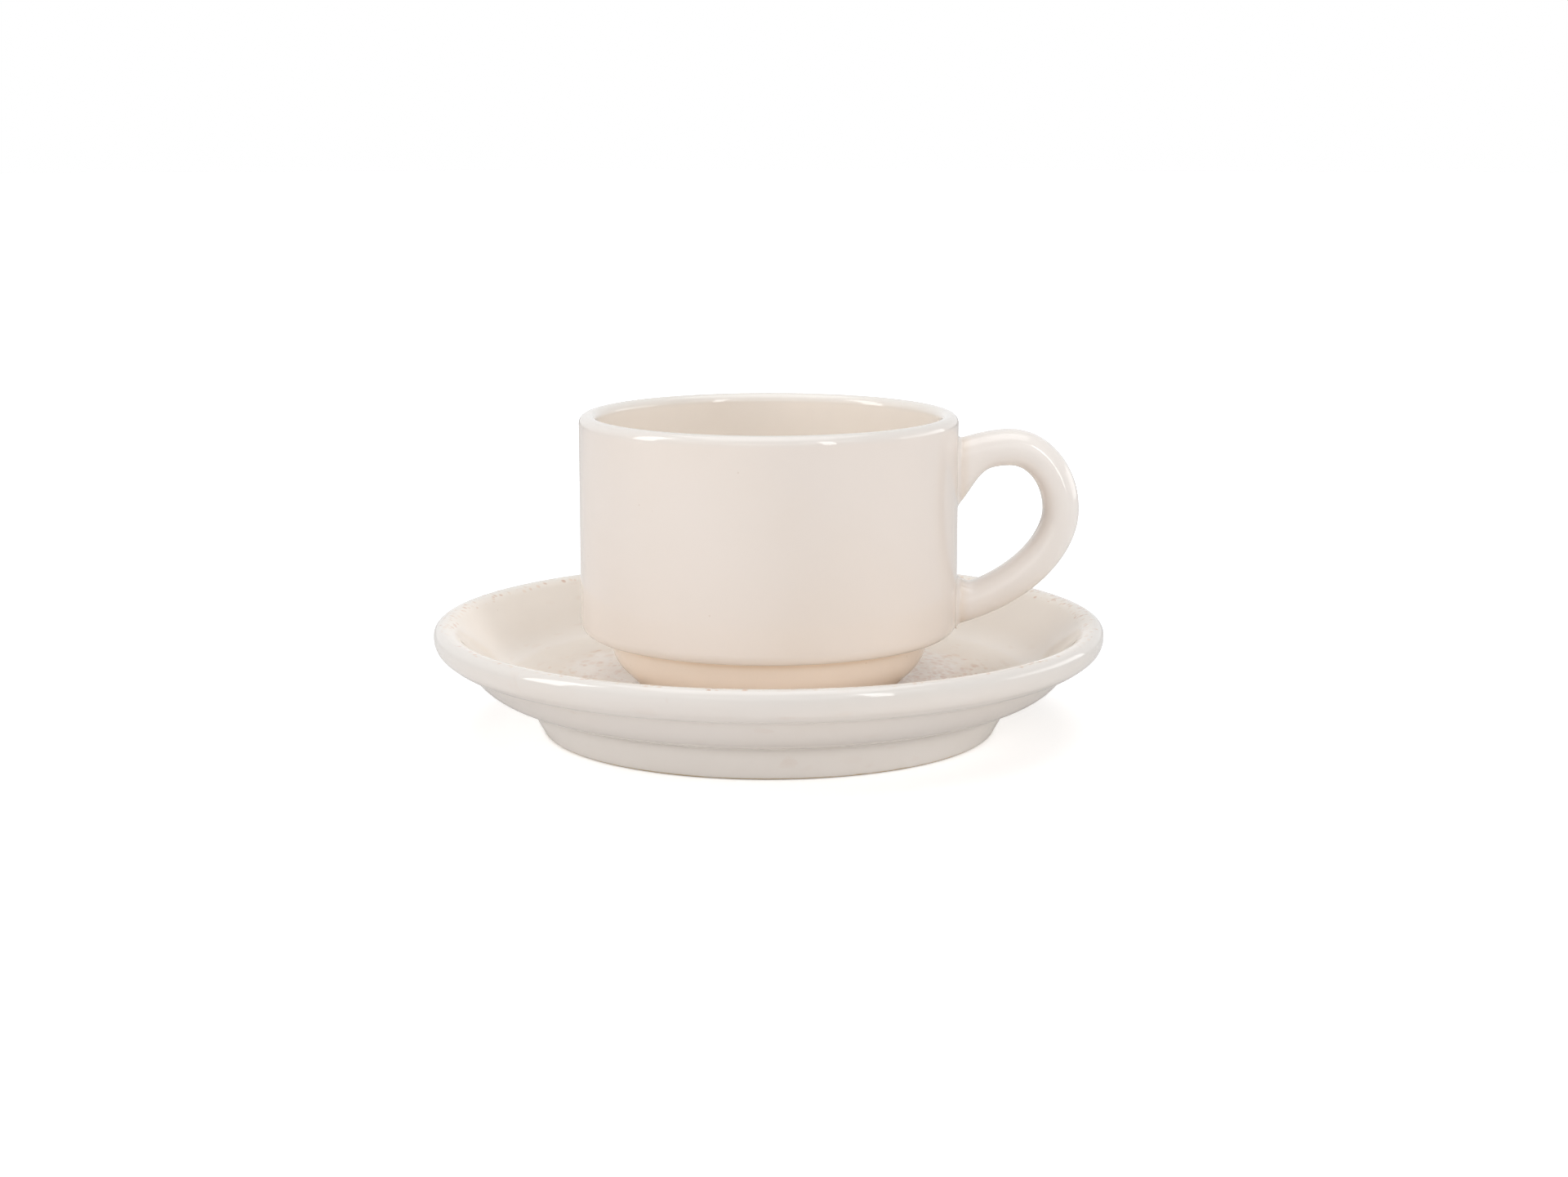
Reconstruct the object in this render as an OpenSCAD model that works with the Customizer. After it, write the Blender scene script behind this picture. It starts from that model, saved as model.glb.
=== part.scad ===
// Stacking teacup and saucer, in millimetres.
// The saucer's foot ring stands on z = 0 and its axis is Z. The cup stands in the saucer's well,
// on the same axis, with its handle along +X.

/* [Saucer] */
// Diameter over the lip
saucer_d = 150; // [138:1:170]
// Height of the lip's crest above the table
saucer_h = 24.4; // [22:0.2:29]
// Width of the lip's crest, before its edges are rounded
lip_w = 4; // [3.4:0.1:5]
// Height of the lip, from its crest to its underside
lip_h = 7.3; // [6.4:0.1:8.4]
// Distance the lip's underside steps in from its outer face
lip_undercut = 6.2; // [5.4:0.1:7]
// Width of the bevel between the lip's outer face and its underside
lip_bevel_w = 3.5; // [2.6:0.1:4.4]
// Height of that bevel
lip_bevel_h = 2.7; // [2:0.1:3.4]
// Run of the steep wall inside the lip, seen from above
dish_run = 10.5; // [9:0.5:13]
// Rise from the cup's seat to the foot of that steep wall
dish_rise = 5; // [4:0.2:6.5]
// Thickness of the saucer under that steep wall
saucer_t = 4; // [3.4:0.1:4.8]
// Thickness of the saucer's floor
saucer_floor = 4.4; // [3.6:0.1:5.4]

/* [Saucer foot] */
// Outer diameter of the foot ring at the table
ring_d = 101.2; // [92:0.4:108]
// Width of the foot ring at the table
ring_w = 5; // [4:0.2:8]
// Height of the foot ring's outer side
ring_h = 7.5; // [6.5:0.1:8.5]
// Distance the foot ring widens from the table to its top
ring_flare = 4.1; // [2.5:0.1:5.5]
// Depth of the hollow inside the foot ring
hollow_h = 3.6; // [2.6:0.1:4.6]

/* [Cup] */
// Outer diameter of the cup's wall
cup_d = 84.4; // [78:0.4:92]
// Height of the cup
cup_h = 63; // [59:0.2:72]
// Thickness of the cup's wall
cup_wall = 4; // [3.4:0.1:5]
// Thickness of the cup's floor
cup_floor = 5; // [4:0.2:6.4]
// Height of the stacking foot, from the base to the crease under the shoulder
stack_h = 14.4; // [13:0.2:15.8]
// Play of the stacking foot in the mouth of a like cup, at each side
stack_play = 2.3; // [1:0.1:3]
// Rounding of the shoulder's lower edge
shoulder_r = 2.6; // [1.6:0.1:3.4]
// Height at which the stacking foot turns in toward the base
turn_h = 8.2; // [7:0.1:9.2]
// Diameter of the base
base_d = 53; // [47:0.5:58]
// Width of the ring that the cup stands on
base_ring = 4; // [3:0.1:6]
// Depth of the hollow inside that ring
base_hollow = 1.4; // [0.8:0.1:2]
// Play of the base in the saucer's well, at each side
well_play = 2.5; // [1.5:0.1:3.5]
// Depth of the saucer's well
well_h = 1; // [0.6:0.1:1.4]

/* [Handle] */
// Distance the handle reaches out from the wall
handle_reach = 27.1; // [25:0.1:31]
// Thickness of the handle, seen from the side
handle_t = 8.1; // [7:0.1:9.4]
// Width of the handle, seen from its outer side
handle_w = 10.5; // [8.5:0.1:12.5]
// Depth of the upper joint below the rim, at the middle of the handle's thickness
upper_drop = 9.9; // [8.8:0.1:11.2]
// Depth of the handle's crown below the rim, at the middle of the handle's thickness
crown_drop = 7.6; // [6.8:0.1:8.8]
// Distance of the crown from the wall
crown_out = 11.5; // [10:0.1:13]
// Depth of the bow's outermost point below the rim
bow_drop = 21.7; // [20:0.1:23]
// Height of the lower joint above the shoulder's crease, at the middle of the handle's thickness
lower_rise = 5.25; // [5:0.05:7.5]
// Height of the web under the upper joint
web_h = 6.3; // [4.5:0.1:7.5]
// Reach of that web from the wall
web_l = 8.5; // [7:0.1:9.5]
// Height of the heel on top of the lower joint
heel_h = 2; // [1.2:0.1:2.8]
// Reach of that heel from the wall
heel_l = 5; // [4:0.1:6]

/* [Joints of handle and wall] */
// Thickness of the slip between the wall and the handle's ends
slip_t = 0.6; // [0.4:0.05:0.9]
// Distance the slip stands out around each end
slip_bead = 0.35; // [0.2:0.05:0.5]
// Spread of the handle onto the slip, at each side
spread = 0.5; // [0.3:0.05:0.8]

/* [Hidden] */
$fn = 96;

// Largest turn between two neighbouring points of a rounded corner, in degrees
arc_step = 9;
// Largest share of a leg that the rounding of one of its corners may take
leg_share = 0.49;

// Saucer: heights and radii that follow from the sizes above
seat_z = hollow_h + saucer_floor;
lip_r = saucer_d / 2;
lip_in = lip_r - lip_w;
lip_low = saucer_h - lip_h;
lip_back = lip_r - lip_undercut;
// The lip's underside drops by this much toward the saucer's belly
lip_tuck = 0.6;
dish_r = lip_in - dish_run;
dish_z = seat_z + dish_rise;
well_r = base_d / 2 + well_play;
// The well's side leans out by this much for each unit of its depth
well_lean = 2;
well_edge = well_r + well_lean * well_h;
ring_out = ring_d / 2;
ring_in = ring_out - ring_w;
ring_top = ring_out + ring_flare;
// The hollow narrows by this much toward its roof
hollow_taper = 1;
hollow_in = ring_in - hollow_taper;
// Direction below the horizontal, in degrees, in which the thickness under the steep wall is set out
thick_lean = 40;
belly_r = dish_r + saucer_t * cos(thick_lean);
belly_z = dish_z - saucer_t * sin(thick_lean);
// Roundings of the saucer's corners
well_round = 1.2;
well_edge_round = 3;
dish_round = 12;
crest_in_round = 4.4;
crest_out_round = 2.4;
bevel_top_round = 4.4;
bevel_low_round = 6.5;
lip_crease_round = 2.5;
belly_round = 14;
ring_top_round = 3;
ring_foot_round = 1.4;
hollow_round = 2;

// Cup: heights and radii above its own base
wall_r = cup_d / 2;
mouth_r = wall_r - cup_wall;
stack_r = mouth_r - stack_play;
// The shoulder's underside hangs this much below its crease
shoulder_sag = 0.5;
shoulder_z = stack_h - shoulder_sag;
base_r = base_d / 2;
// The stacking foot narrows by this much between the crease and its turn
stack_taper = 0.9;
turn_r = stack_r - stack_taper;
// The wall is this much thicker inside the stacking foot
stack_extra = 0.5;
bowl_r = turn_r - cup_wall - stack_extra;
// The bowl inside the stacking foot starts this far below the crease and narrows by this much
bowl_drop = 1;
bowl_narrowing = 2;
bowl_z = stack_h - bowl_drop;
bowl_floor_r = bowl_r - bowl_narrowing;
// The straight wall inside ends one wall's thickness above the crease
mouth_end = stack_h + cup_wall;
base_in = base_r - base_ring;
// The hollow under the base narrows by this much toward its roof
base_taper = 0.6;
// Roundings of the cup's corners
floor_round = 8;
bowl_round = 6;
mouth_round = 6;
rim_in_round = 1.9;
rim_out_round = 2;
crease_round = 0.7;
turn_round = 9;
base_round = 1;
base_in_round = 0.8;

// Handle: points of its centre line and the pull of its curve at them
half_t = handle_t / 2;
half_w = handle_w / 2;
upper_lean = 15;
lower_lean = 16;
upper_pt = [wall_r, cup_h - upper_drop];
crown_pt = [wall_r + crown_out, cup_h - crown_drop];
bow_pt = [wall_r + handle_reach - half_t, cup_h - bow_drop];
lower_pt = [wall_r, stack_h + lower_rise];
// Pull of the arch between the upper joint and the crown
arch_pull = crown_out / 3;
// Pull of a curve that makes a quarter of an ellipse
quarter = 0.5523;
// Pull of the curve below the bow, of the drop to the lower joint, and at the lower joint, of the run
bow_pull = 0.33;
lower_pull = 0.68;
// The joints' sections turn to face the wall over this last share of the lower curve
facing = 0.4;
// Length by which the centre line runs on into the wall before it is cut
run_in = 4;
// The spread reaches along the handle by this much for each unit of its height
spread_reach = 3;
// Powers that round a web off at the wall and thin it out toward its reach
web_round = 1.6;
web_thin = 3;
// Points around the handle's section, and the power of its rounded outline
section_n = 24;
section_power = 2.4;
// Steps along the joint with the wall, the arch to the crown, the bow and the lower curve
upper_steps = 14;
bow_steps = 14;
lower_steps = 22;
// The crowding of the steps toward the wall, where the handle spreads
crowding = 1.5;
grip_r = wall_r + slip_t;
// Overrun of a cut past the faces that it goes through
over = 1;

// Colours
saucer_colour = "#e6dccf";
cup_colour = "#e9dfd5";
handle_colour = "#ebe2d9";
slip_colour = "#dfd2c4";

// Outlines with rounded corners

function unit(v) = v / norm(v);

function turned(v, k) = [v[0] * cos(k) - v[1] * sin(k), v[0] * sin(k) + v[1] * cos(k)];

// Points of the arc of radius r at corner b between a and c, kept within half of both legs
function rounded_corner(a, b, c, r) =
    let (u = unit(a - b))
    let (w = unit(c - b))
    let (half = acos(u * w) / 2)
    let (leg = min(r / tan(half), leg_share * norm(a - b), leg_share * norm(c - b)))
    let (radius = leg * tan(half))
    let (centre = b + unit(u + w) * radius / sin(half))
    let (from = b + u * leg - centre)
    let (side = u[0] * w[1] - u[1] * w[0] > 0 ? -1 : 1)
    let (turn = side * (180 - 2 * half))
    let (n = ceil(abs(turn) / arc_step))
    [for (i = [0 : n])
        centre + turned(from, turn * i / n)];

// Outline from corners given as [radius from the axis, height, rounding]
function rounded_outline(corners) =
    let (n = len(corners))
    [for (i = [0 : n - 1])
        let (p = corners[i])
        let (a = corners[(i + n - 1) % n])
        let (c = corners[(i + 1) % n])
        each p[2] == 0
            ? [[p[0], p[1]]]
            : rounded_corner([a[0], a[1]], [p[0], p[1]], [c[0], c[1]], p[2])];

// Curves and sections of the handle

function bezier(p, t) =
    pow(1 - t, 3) * p[0] + 3 * t * pow(1 - t, 2) * p[1] + 3 * t * t * (1 - t) * p[2] + pow(t, 3) * p[3];

function bezier_way(p, t) =
    unit(pow(1 - t, 2) * (p[1] - p[0]) + 2 * t * (1 - t) * (p[2] - p[1]) + t * t * (p[3] - p[2]));

function ease(x) = x <= 0 ? 0 : x >= 1 ? 1 : x * x * (3 - 2 * x);

// Height of a web at distance d from the wall: full at the wall, none at its reach
function web(d, h, l) = d <= 0 ? h : d >= l ? 0 : h * pow(1 - pow(d / l, web_round), web_thin);

upper_curve = [
    upper_pt,
    upper_pt + arch_pull * [1, tan(upper_lean)],
    crown_pt - [arch_pull, 0],
    crown_pt];
bow_curve = [
    crown_pt,
    crown_pt + [quarter * (bow_pt[0] - crown_pt[0]), 0],
    bow_pt + [0, quarter * (crown_pt[1] - bow_pt[1])],
    bow_pt];
lower_curve = [
    bow_pt,
    bow_pt - [0, bow_pull * (bow_pt[1] - lower_pt[1])],
    lower_pt + lower_pull * (bow_pt[0] - lower_pt[0]) * [1, tan(lower_lean)],
    lower_pt];

// A ring is [centre, way outward in the handle's plane, reach outward, reach inward, reach sideways]
function ring_at(c, way, out, h, l) =
    let (d = c[0] - wall_r)
    let (across = [-way[1], way[0]])
    let (core = half_t / abs(out * across))
    let (s = web(d, spread, spread_reach * spread))
    [c, out, core + s, core + s + web(d, h, l), half_w + s];

function upper_ring(t) =
    let (way = bezier_way(upper_curve, t))
    ring_at(bezier(upper_curve, t), way, [0, 1], web_h, web_l);

function bow_ring(t) =
    let (way = bezier_way(bow_curve, t))
    ring_at(bezier(bow_curve, t), way, [-way[1], way[0]], 0, web_l);

function lower_ring(t) =
    let (way = bezier_way(lower_curve, t))
    let (across = [-way[1], way[0]])
    let (out = turned(across, -lower_lean * ease((t - 1 + facing) / facing)))
    ring_at(bezier(lower_curve, t), way, out, heel_h, heel_l);

function moved(ring, v) = [ring[0] + v, ring[1], ring[2], ring[3], ring[4]];

upper_rings = [
    moved(upper_ring(0), -run_in * [1, tan(upper_lean)]),
    for (i = [0 : upper_steps]) upper_ring(pow(i / upper_steps, crowding))];
bow_rings = [for (i = [1 : bow_steps]) bow_ring(i / bow_steps)];
lower_rings = [
    for (i = [1 : lower_steps]) lower_ring(1 - pow(1 - i / lower_steps, crowding)),
    moved(lower_ring(1), -run_in * [1, tan(lower_lean)])];

// Points of a ring's rounded outline, grown by g
function ring_points(ring, g) =
    [for (i = [0 : section_n - 1])
        let (k = 360 * i / section_n)
        let (u = sign(cos(k)) * pow(abs(cos(k)), 2 / section_power))
        let (v = sign(sin(k)) * pow(abs(sin(k)), 2 / section_power))
        let (p = ring[0] + ring[1] * u * (g + (u > 0 ? ring[2] : ring[3])))
        [p[0], v * (ring[4] + g), p[1]]];

// Solid through a row of rings
module arm(rings, g) {
    n = len(rings);
    m = section_n;
    points = [for (r = rings) each ring_points(r, g)];
    sides = [for (i = [0 : n - 2]) for (j = [0 : m - 1])
        let (a = i * m + j)
        let (b = i * m + (j + 1) % m)
        each [[a, b, b + m], [a, b + m, a + m]]];
    first = [for (j = [m - 1 : -1 : 0]) j];
    last = [for (j = [0 : m - 1]) (n - 1) * m + j];
    polyhedron(points = points, faces = [first, each sides, last], convexity = 6);
}

// The nodes

module saucer() {
    corners = [
        [0, seat_z, 0],
        [well_r, seat_z, well_round],
        [well_edge, seat_z + well_h, well_edge_round],
        [dish_r, dish_z, dish_round],
        [lip_in, saucer_h, crest_in_round],
        [lip_r, saucer_h, crest_out_round],
        [lip_r, lip_low + lip_bevel_h, bevel_top_round],
        [lip_r - lip_bevel_w, lip_low, bevel_low_round],
        [lip_back, lip_low - lip_tuck, lip_crease_round],
        [belly_r, belly_z, belly_round],
        [ring_top, ring_h, ring_top_round],
        [ring_out, 0, ring_foot_round],
        [ring_in, 0, ring_foot_round],
        [hollow_in, hollow_h, hollow_round],
        [0, hollow_h, 0]];
    color(saucer_colour) rotate_extrude() polygon(rounded_outline(corners));
}

module cup_body() {
    corners = [
        [0, cup_floor, 0],
        [bowl_floor_r, cup_floor, floor_round],
        [bowl_r, bowl_z, bowl_round],
        [mouth_r, mouth_end, mouth_round],
        [mouth_r, cup_h, rim_in_round],
        [wall_r, cup_h, rim_out_round],
        [wall_r, shoulder_z, shoulder_r],
        [stack_r, stack_h, crease_round],
        [turn_r, turn_h, turn_round],
        [base_r, 0, base_round],
        [base_in, 0, base_in_round],
        [base_in - base_taper, base_hollow, base_in_round],
        [0, base_hollow, 0]];
    color(cup_colour) translate([0, 0, seat_z]) rotate_extrude() polygon(rounded_outline(corners));
}

module handle() {
    color(handle_colour) translate([0, 0, seat_z]) difference() {
        arm([each upper_rings, each bow_rings, each lower_rings], 0);
        cylinder(h = cup_h, r = grip_r);
    }
}

// Full body inside the cup's wall and the rounding of its shoulder, which the slip is fitted to
module wall_body() {
    corners = [
        [0, 0, 0],
        [0, cup_h + over, 0],
        [wall_r, cup_h + over, 0],
        [wall_r, shoulder_z, shoulder_r],
        [stack_r, stack_h, 0],
        [stack_r, 0, 0]];
    rotate_extrude() polygon(rounded_outline(corners));
}

// Slip between the wall and one end of the handle
module slip_pad(rings) {
    color(slip_colour) translate([0, 0, seat_z]) intersection() {
        arm(rings, slip_bead);
        difference() {
            translate([0, 0, stack_h]) cylinder(h = cup_h - stack_h, r = grip_r);
            wall_body();
        }
    }
}

module upper_slip_pad() {
    slip_pad(upper_rings);
}

module lower_slip_pad() {
    slip_pad(lower_rings);
}

saucer();
cup_body();
handle();
upper_slip_pad();
lower_slip_pad();
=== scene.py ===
"""Looks of a stacking teacup and its saucer in cream glaze with rust flecks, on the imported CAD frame.

Lengths are in metres and the frame is the CAD model's: the saucer stands on z = 0 about the Z axis,
and the cup stands in its well with the handle along +X.
"""

import logging
import math
from dataclasses import dataclass, field
from enum import Enum
from typing import Any, Optional, Sequence, Union

import bpy
import numpy as np
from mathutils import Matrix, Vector


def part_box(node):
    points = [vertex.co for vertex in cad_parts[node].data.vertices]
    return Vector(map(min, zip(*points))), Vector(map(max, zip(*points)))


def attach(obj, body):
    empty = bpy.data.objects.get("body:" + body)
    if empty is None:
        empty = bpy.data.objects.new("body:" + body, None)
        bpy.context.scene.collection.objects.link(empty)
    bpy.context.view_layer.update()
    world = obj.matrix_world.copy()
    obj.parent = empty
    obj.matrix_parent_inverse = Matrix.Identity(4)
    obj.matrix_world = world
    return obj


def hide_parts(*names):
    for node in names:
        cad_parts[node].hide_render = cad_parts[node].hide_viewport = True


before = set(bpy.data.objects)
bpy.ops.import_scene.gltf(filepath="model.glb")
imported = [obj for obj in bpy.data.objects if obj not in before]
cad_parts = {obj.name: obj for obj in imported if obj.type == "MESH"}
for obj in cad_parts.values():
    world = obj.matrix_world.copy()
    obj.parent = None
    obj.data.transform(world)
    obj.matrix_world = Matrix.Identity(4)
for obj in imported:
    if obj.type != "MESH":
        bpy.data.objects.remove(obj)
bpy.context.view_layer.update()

Array = np.ndarray
Colour = tuple[float, float, float, float]

log = logging.getLogger("teacup")

MM = 0.001


class Body(Enum):
    """Bodies of the frame that the pieces ride on."""

    SAUCER = "saucer"
    CUP = "cup"


class Slot(Enum):
    """Names of the record's material slots; this script does not use them."""

    SAUCER = "saucer_glaze"
    CUP = "cup_glaze"
    HANDLE = "handle_glaze"
    SLIP = "slip"


class End(Enum):
    """The two ends of the handle; the value is the way from its inner side to its outer side there."""

    UPPER = 1.0
    LOWER = -1.0


# Surfaces


@dataclass(frozen=True)
class Corner:
    """A corner of a turned outline.

    Args:
        r: Distance from the axis.
        z: Height.
        rounding: Radius of the arc that rounds the corner, or 0 for none.
    """

    r: float
    z: float
    rounding: float = 0.0

    def point(self) -> Array:
        """The corner as radius and height."""
        return np.array([self.r, self.z])


@dataclass(frozen=True)
class Outline:
    """Half of a turned shape's section, from the axis over its upper side and back to the axis.

    Args:
        points: Radius and height of each point.
        fold: How sharply the surface bends there: 1 on a tight edge, -1 in a tight crease.
    """

    points: Array
    fold: Array


@dataclass(frozen=True)
class Surface:
    """A closed surface.

    Args:
        points: Place of each vertex.
        quads: Four vertices of each face, seen anticlockwise from outside.
        fans: Three vertices of each face of the caps.
        marks: A number for each vertex, by name.
    """

    points: Array
    quads: Array
    fans: Array
    marks: dict[str, Array] = field(default_factory=dict)


def unit(v: Array) -> Array:
    """Vectors of length one, along the last axis."""
    return v / np.linalg.norm(v, axis=-1, keepdims=True)


def ease(x: Array) -> Array:
    """Smooth step from 0 at 0 to 1 at 1: x squared times (3 - 2 x)."""
    x = np.clip(x, 0.0, 1.0)
    return x * x * (3.0 - 2.0 * x)


def fade(distance: Array, reach: float) -> Array:
    """Half a cosine wave, from 1 at no distance to 0 at the reach."""
    return 0.5 * (1.0 + np.cos(np.pi * np.clip(distance / reach, 0.0, 1.0)))


@dataclass(frozen=True)
class Lathe:
    """Makes turned surfaces from corners.

    Args:
        leg: Longest distance between two points of the outline.
        turn: Largest turn between two points of an arc, in radians.
        leg_share: Largest share of a leg that the rounding of one corner takes.
        tight: Radius at which an edge or a crease counts as fully tight.
        blur: Distance along the outline over which the fold is evened out.
        sides: Number of steps around the axis.
    """

    leg: float = 1.2 * MM
    turn: float = math.radians(5.0)
    leg_share: float = 0.49
    tight: float = 2.0 * MM
    blur: float = 1.4 * MM
    sides: int = 240

    def arc(self, before: Array, at: Array, after: Array, rounding: float) -> tuple[Array, float]:
        """Arc that rounds a corner: points turned about its centre by equal angles.

        The arc touches each leg at rounding / tan(half the angle between the legs) from the corner.

        Args:
            before: The corner before.
            at: The corner itself.
            after: The corner after.
            rounding: Radius of the arc, made less where a leg is short.

        Returns:
            The points, and the bend: one over the radius, above 0 on an edge and below 0 in a crease.
        """
        back, on = unit(before - at), unit(after - at)
        half = math.acos(float(back @ on)) / 2.0
        room = self.leg_share * min(np.linalg.norm(before - at), np.linalg.norm(after - at))
        leg = min(rounding / math.tan(half), room)
        radius = leg * math.tan(half)
        centre = at + unit(back + on) * radius / math.sin(half)
        spoke = at + back * leg - centre
        side = 1.0 if back[0] * on[1] - back[1] * on[0] > 0.0 else -1.0
        sweep = -side * (math.pi - 2.0 * half)
        k = np.linspace(0.0, sweep, max(3, math.ceil(abs(sweep) / self.turn) + 1))
        x = spoke[0] * np.cos(k) - spoke[1] * np.sin(k)
        z = spoke[0] * np.sin(k) + spoke[1] * np.cos(k)
        return centre + np.stack([x, z], axis=1), side / radius

    def outline(self, corners: Sequence[Corner]) -> Outline:
        """Outline through rounded corners, cut into short legs.

        Each leg is cut into equal parts. The fold is the bend of the legs around a point, weighed by
        a bell curve of the distance along the outline.

        Args:
            corners: The corners; the first and the last lie on the axis.

        Returns:
            The outline.
        """
        places, bends = [corners[0].point()[None]], [np.zeros(1)]
        for before, at, after in zip(corners, corners[1:], corners[2:]):
            arc, bend = self.arc(before.point(), at.point(), after.point(), at.rounding)
            places.append(arc)
            bends.append(np.append(np.full(len(arc) - 1, bend), 0.0))
        points = np.vstack(places + [corners[-1].point()[None]])
        bend = np.concatenate(bends)
        length = np.linalg.norm(np.diff(points, axis=0), axis=1)
        cuts = np.maximum(np.ceil(length / self.leg), 1).astype(int)
        leg = np.repeat(np.arange(len(length)), cuts)
        part = np.arange(len(leg)) - np.repeat(np.cumsum(cuts) - cuts, cuts)
        share = (part / cuts[leg])[:, None]
        points = np.vstack([points[leg] * (1.0 - share) + points[leg + 1] * share, points[-1:]])
        length, bend = length[leg] / cuts[leg], bend[leg]
        along = np.append(0.0, np.cumsum(length))
        middle = along[:-1] + length / 2.0
        weight = length * np.exp(-0.5 * ((along[:, None] - middle[None, :]) / self.blur) ** 2)
        fold = np.clip(self.tight * (weight @ bend) / weight.sum(axis=1), -1.0, 1.0)
        return Outline(points, fold)

    def surface(self, outline: Outline, tone: Array) -> Surface:
        """Outline carried round the Z axis: (r cos a, r sin a, z), with a fan at each pole.

        Args:
            outline: The outline, with its first and last points on the axis.
            tone: The mark of the painted light at each point of the outline, which makes the glaze
                lighter inside and at the foot.

        Returns:
            The closed surface, with the outline's fold and the tone as marks.
        """
        a = 2.0 * np.pi * np.arange(self.sides) / self.sides
        r, z = outline.points[1:-1, :1], outline.points[1:-1, 1:]
        rings = np.stack([r * np.cos(a), r * np.sin(a), z + 0.0 * a], axis=-1)
        poles = np.array([[0.0, 0.0, outline.points[0, 1]], [0.0, 0.0, outline.points[-1, 1]]])
        marks = {name: np.append(np.repeat(mark[1:-1], self.sides), mark[[0, -1]])
                 for name, mark in (("fold", outline.fold), ("tone", tone))}
        return grid_surface(rings, poles, marks)


def grid_surface(rings: Array, poles: Array, marks: dict[str, Array]) -> Surface:
    """Closed surface through rings of points, with a fan from a pole to the first and last ring.

    Args:
        rings: Points by ring and place around it.
        poles: The first and the last pole.
        marks: A number for each point and then for each pole, by name.

    Returns:
        The surface.
    """
    rows, sides = rings.shape[:2]
    index = np.arange(rows * sides).reshape(rows, sides)
    turn = np.roll(index, -1, axis=1)
    quads = np.stack([index[:-1], index[1:], turn[1:], turn[:-1]], axis=-1).reshape(-1, 4)
    first = np.stack([np.full(sides, rows * sides), index[0], turn[0]], axis=-1)
    last = np.stack([np.full(sides, rows * sides + 1), turn[-1], index[-1]], axis=-1)
    points = np.vstack([rings.reshape(-1, 3), poles])
    return Surface(points, quads, np.vstack([first, last]), marks)


def swept_surface(rings: Array, fold: Array) -> Surface:
    """Closed surface through rings, with each end closed by a fan from the middle of its ring.

    Args:
        rings: Points by ring and place around it.
        fold: The fold of each point.

    Returns:
        The surface.
    """
    poles = np.stack([rings[0].mean(axis=0), rings[-1].mean(axis=0)])
    return grid_surface(rings, poles, {"fold": np.append(fold.ravel(), [0.0, 0.0])})


def make_mesh(name: str, surface: Surface) -> bpy.types.Object:
    """Smooth mesh object of a surface, at the origin.

    Args:
        name: Name of the object and of its mesh.
        surface: The surface.

    Returns:
        The object, linked to the scene.
    """
    mesh = bpy.data.meshes.new(name)
    quads, fans = surface.quads, surface.fans
    starts = np.append(4 * np.arange(len(quads)), 4 * len(quads) + 3 * np.arange(len(fans)))
    mesh.vertices.add(len(surface.points))
    mesh.vertices.foreach_set("co", surface.points.astype(np.float32).ravel())
    mesh.loops.add(quads.size + fans.size)
    mesh.loops.foreach_set("vertex_index", np.append(quads, fans).astype(np.int32))
    mesh.polygons.add(len(starts))
    mesh.polygons.foreach_set("loop_start", starts.astype(np.int32))
    mesh.polygons.foreach_set("use_smooth", np.ones(len(starts), bool))
    mesh.update(calc_edges=True)
    for mark, values in surface.marks.items():
        mesh.attributes.new(mark, "FLOAT", "POINT").data.foreach_set("value", values.astype(np.float32))
    piece = bpy.data.objects.new(name, mesh)
    bpy.context.scene.collection.objects.link(piece)
    return piece


def place_piece(name: str, surface: Surface, finish: bpy.types.Material, body: Body,
                node: str) -> bpy.types.Object:
    """Piece in its finish, riding on a body in place of a CAD node.

    Args:
        name: Name of the piece.
        surface: Its surface.
        finish: Its material.
        body: The body that it rides on.
        node: The CAD node that it stands for.

    Returns:
        The object.
    """
    piece = make_mesh(name, surface)
    piece.data.materials.append(finish)
    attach(piece, body.value)
    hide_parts(node)
    log.info("%s rides on %s: %d points", name, body.value, len(surface.points))
    return piece


# Nodes


class Value:
    """A socket of a node tree that takes part in Python expressions."""

    def __init__(self, graph: "Graph", socket: bpy.types.NodeSocket) -> None:
        """Keeps the tree and the socket."""
        self.graph = graph
        self.socket = socket

    def __add__(self, other: "Term") -> "Value":
        """Sum of two values."""
        return self.graph.math("ADD", self, other)

    def __sub__(self, other: "Term") -> "Value":
        """Difference of two values."""
        return self.graph.math("SUBTRACT", self, other)

    def __rsub__(self, other: "Term") -> "Value":
        """Difference of a number and a value."""
        return self.graph.math("SUBTRACT", other, self)

    def __mul__(self, other: "Term") -> "Value":
        """Product of two values."""
        return self.graph.math("MULTIPLY", self, other)

    def __truediv__(self, other: "Term") -> "Value":
        """Quotient of two values."""
        return self.graph.math("DIVIDE", self, other)

    def __pow__(self, other: "Term") -> "Value":
        """Power of a value."""
        return self.graph.math("POWER", self, other)

    __radd__ = __add__
    __rmul__ = __mul__

    def over(self, low: "Term", high: "Term") -> "Value":
        """Smooth step from 0 at low to 1 at high.

        Args:
            low: Value at which the step starts.
            high: Value at which it ends.

        Returns:
            The step.
        """
        settings = {"interpolation_type": "SMOOTHSTEP"}
        return self.graph.node("ShaderNodeMapRange", settings, {0: self, 1: low, 2: high})

    def near(self, centre: float, flat: float, soft: float) -> "Value":
        """One within a band around a centre and 0 outside it, with soft sides.

        Args:
            centre: Middle of the band.
            flat: Half of the band's width.
            soft: Width of each side.

        Returns:
            The band.
        """
        away = self.graph.math("ABSOLUTE", self - centre)
        return 1.0 - away.over(flat, flat + soft)


Term = Union[Value, float]
Step = tuple[float, float]


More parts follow.
